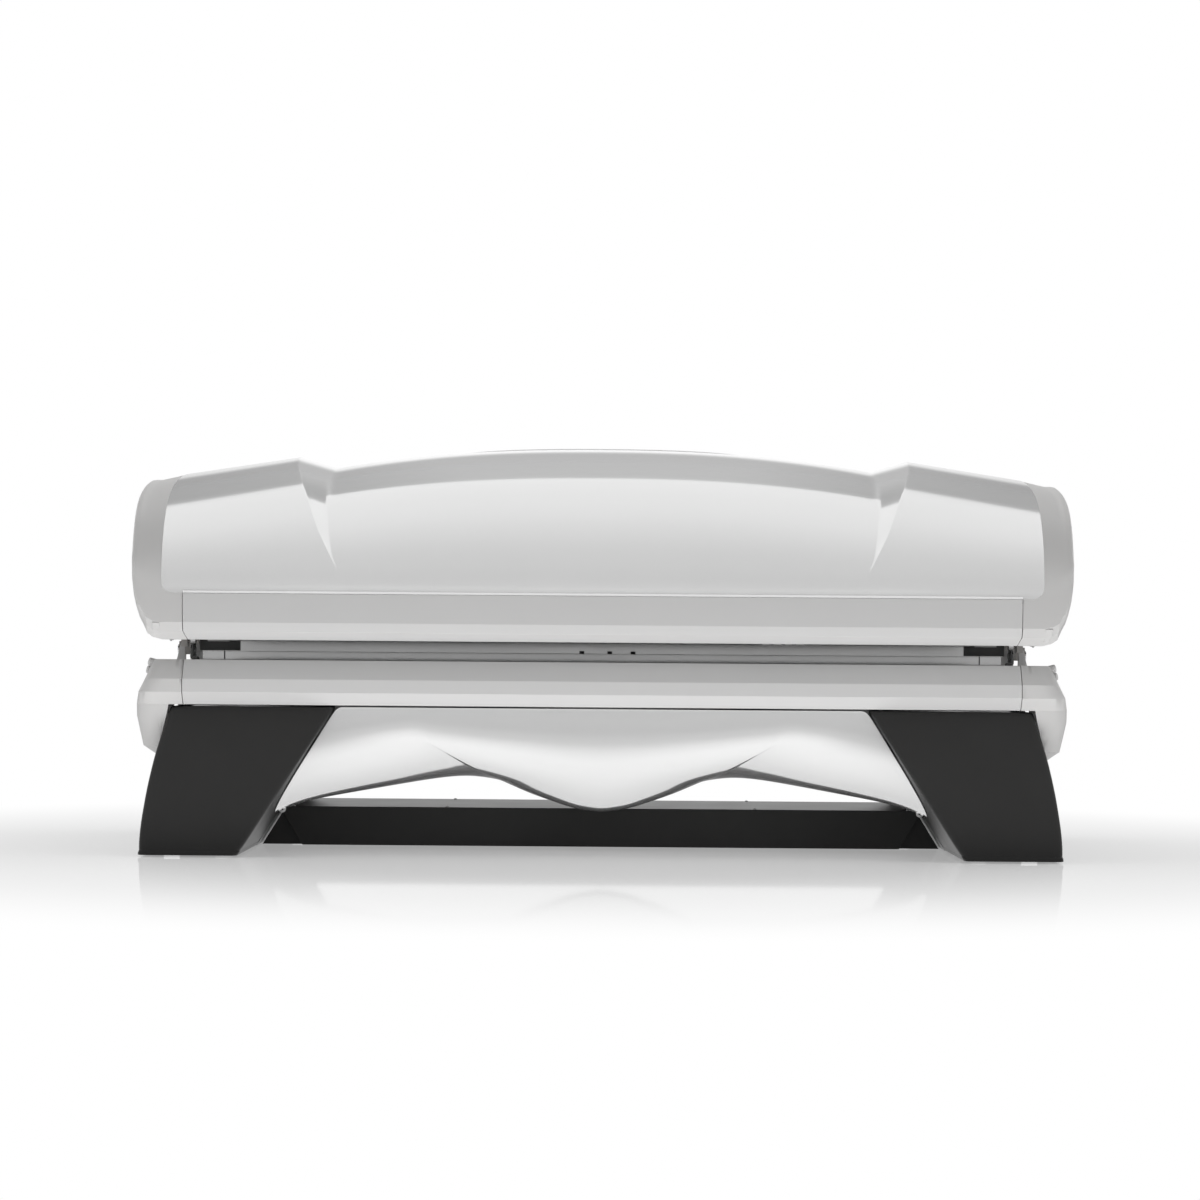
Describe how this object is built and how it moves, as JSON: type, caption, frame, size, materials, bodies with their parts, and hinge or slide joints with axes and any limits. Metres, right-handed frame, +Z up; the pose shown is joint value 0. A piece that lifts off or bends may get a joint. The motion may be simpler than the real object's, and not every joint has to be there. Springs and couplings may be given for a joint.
{
  "type": "clamshell tanning bed",
  "caption": "Clamshell tanning bed on four leg covers: concave bench with tubes below, arched canopy on a rear hinge with gas struts.",
  "frame": {"origin": "middle of the floor area, on the floor", "axes": "+X along the bed to the right, -Y to the front, +Z up"},
  "size_m": [2.2286, 1.1, 0.9625],
  "materials": {
    "pearl_white": "glossy pearl",
    "cap_grey": "satin",
    "trim_grey": "satin",
    "shell_grey": "satin",
    "leg_anthracite": "fine grained matt",
    "box_dark": "semi-gloss",
    "frame_steel": "powder coat",
    "hinge_beige": "powder coat",
    "rubber_black": "matt",
    "ballast_metal": "lacquered",
    "control_plastic": "matt",
    "tub_sheet": "mill finish",
    "acrylic_clear": "clear",
    "lamp_glass": "phosphor-coated",
    "lamp_cap_metal": "satin",
    "lampholder_white": "matt",
    "reflector_bright": "bright",
    "fan_black": "matt",
    "pin_chrome": "polished",
    "strut_black": "gloss",
    "lens_dark": "glossy",
    "button_grey": "matt"
  },
  "bodies": {
    "base": {"acrylic_clips": "control_plastic", "ballast_box": "box_dark", "ballast_lid": "box_dark", "ballasts": "ballast_metal", "base_end_cap_left": "cap_grey", "base_end_cap_right": "cap_grey", "base_fan_frames": "fan_black", "base_frame": "frame_steel", "base_front_trim": "trim_grey", "base_rear_cover": "trim_grey", "base_side_plugs": "cap_grey", "base_tub": "tub_sheet", "bench_acrylic": "acrylic_clear", "control_box": "control_plastic", "foot_pads": "rubber_black", "front_leg_cover_left": "leg_anthracite", "front_leg_cover_right": "leg_anthracite", "hinge_pins": "pin_chrome", "hinge_posts": "hinge_beige", "leg_frame_left": "frame_steel", "leg_frame_right": "frame_steel", "lower_front_panel": "pearl_white", "lower_lamp_caps": "lamp_cap_metal", "lower_lampholders": "lampholder_white", "lower_lamps": "lamp_glass", "lower_reflector": "reflector_bright", "mains_gland": "control_plastic", "panel_eyes": "pin_chrome", "rear_leg_cover_left": "leg_anthracite", "rear_leg_cover_right": "leg_anthracite", "strut_brackets": "frame_steel"},
    "canopy": {"canopy_acrylic": "acrylic_clear", "canopy_end_cap_left": "cap_grey", "canopy_end_cap_right": "cap_grey", "canopy_fan_frame": "fan_black", "canopy_frame": "frame_steel", "canopy_front_panel": "pearl_white", "canopy_front_trim": "trim_grey", "canopy_rear_shell": "shell_grey", "canopy_rear_trim": "trim_grey", "canopy_side_plugs": "cap_grey", "control_bezel": "control_plastic", "display_lens": "lens_dark", "hinge_arms": "hinge_beige", "top_vent": "shell_grey", "upper_lamp_caps": "lamp_cap_metal", "upper_lampholders": "lampholder_white", "upper_lamps": "lamp_glass", "upper_reflector": "reflector_bright"},
    "base_fan_left": {"base_fan_rotor_left": "fan_black"},
    "base_fan_right": {"base_fan_rotor_right": "fan_black"},
    "canopy_fan": {"canopy_fan_rotor": "fan_black"},
    "strut_tube_left": {"strut_cylinder_left": "strut_black"},
    "strut_tube_right": {"strut_cylinder_right": "strut_black"},
    "strut_bar_left": {"strut_rod_left": "pin_chrome"},
    "strut_bar_right": {"strut_rod_right": "pin_chrome"},
    "button_one": {"button_1": "button_grey"},
    "button_two": {"button_2": "button_grey"},
    "button_three": {"button_3": "button_grey"},
    "button_four": {"button_4": "button_grey"}
  },
  "joints": [
    {"name": "canopy_hinge", "type": "hinge", "parent": "base", "child": "canopy", "pos_m": [0, 0.5, 0.47], "axis": [-1, 0, 0], "range_deg": [0, 45]},
    {"name": "strut_pivot_left", "type": "hinge", "parent": "base", "child": "strut_tube_left", "pos_m": [-1.046, 0.43, 0.25], "axis": [-1, 0, 0], "range_deg": [0, 7.2]},
    {"name": "strut_slide_left", "type": "slide", "parent": "strut_tube_left", "child": "strut_bar_left", "axis": [0, -0.0072, 1], "range_m": [0, 0.0465]},
    {"name": "strut_pivot_right", "type": "hinge", "parent": "base", "child": "strut_tube_right", "pos_m": [1.046, 0.43, 0.25], "axis": [-1, 0, 0], "range_deg": [0, 7.2]},
    {"name": "strut_slide_right", "type": "slide", "parent": "strut_tube_right", "child": "strut_bar_right", "axis": [0, -0.0072, 1], "range_m": [0, 0.0465]},
    {"name": "base_fan_spin_left", "type": "hinge", "parent": "base", "child": "base_fan_left", "pos_m": [-0.25, 0.04, 0.235], "axis": [0, 0, 1], "continuous": true},
    {"name": "base_fan_spin_right", "type": "hinge", "parent": "base", "child": "base_fan_right", "pos_m": [0.25, 0.04, 0.235], "axis": [0, 0, 1], "continuous": true},
    {"name": "canopy_fan_spin", "type": "hinge", "parent": "canopy", "child": "canopy_fan", "pos_m": [0.105, 0.045, 0.89], "axis": [0, 0, 1], "continuous": true},
    {"name": "button_press_one", "type": "slide", "parent": "canopy", "child": "button_one", "axis": [0, 0, 1], "range_m": [0, 0.0015], "stiffness_N_per_m": 400, "springref_m": -0.001},
    {"name": "button_press_two", "type": "slide", "parent": "canopy", "child": "button_two", "axis": [0, 0, 1], "range_m": [0, 0.0015], "stiffness_N_per_m": 400, "springref_m": -0.001},
    {"name": "button_press_three", "type": "slide", "parent": "canopy", "child": "button_three", "axis": [0, 0, 1], "range_m": [0, 0.0015], "stiffness_N_per_m": 400, "springref_m": -0.001},
    {"name": "button_press_four", "type": "slide", "parent": "canopy", "child": "button_four", "axis": [0, 0, 1], "range_m": [0, 0.0015], "stiffness_N_per_m": 400, "springref_m": -0.001}
  ],
  "couplings": [
    {"joint": "strut_pivot_left", "follows": "canopy_hinge", "ratio": 0.158},
    {"joint": "strut_slide_left", "follows": "canopy_hinge", "m_per_rad": 0.05879},
    {"joint": "strut_pivot_right", "follows": "canopy_hinge", "ratio": 0.158},
    {"joint": "strut_slide_right", "follows": "canopy_hinge", "m_per_rad": 0.05879}
  ]
}
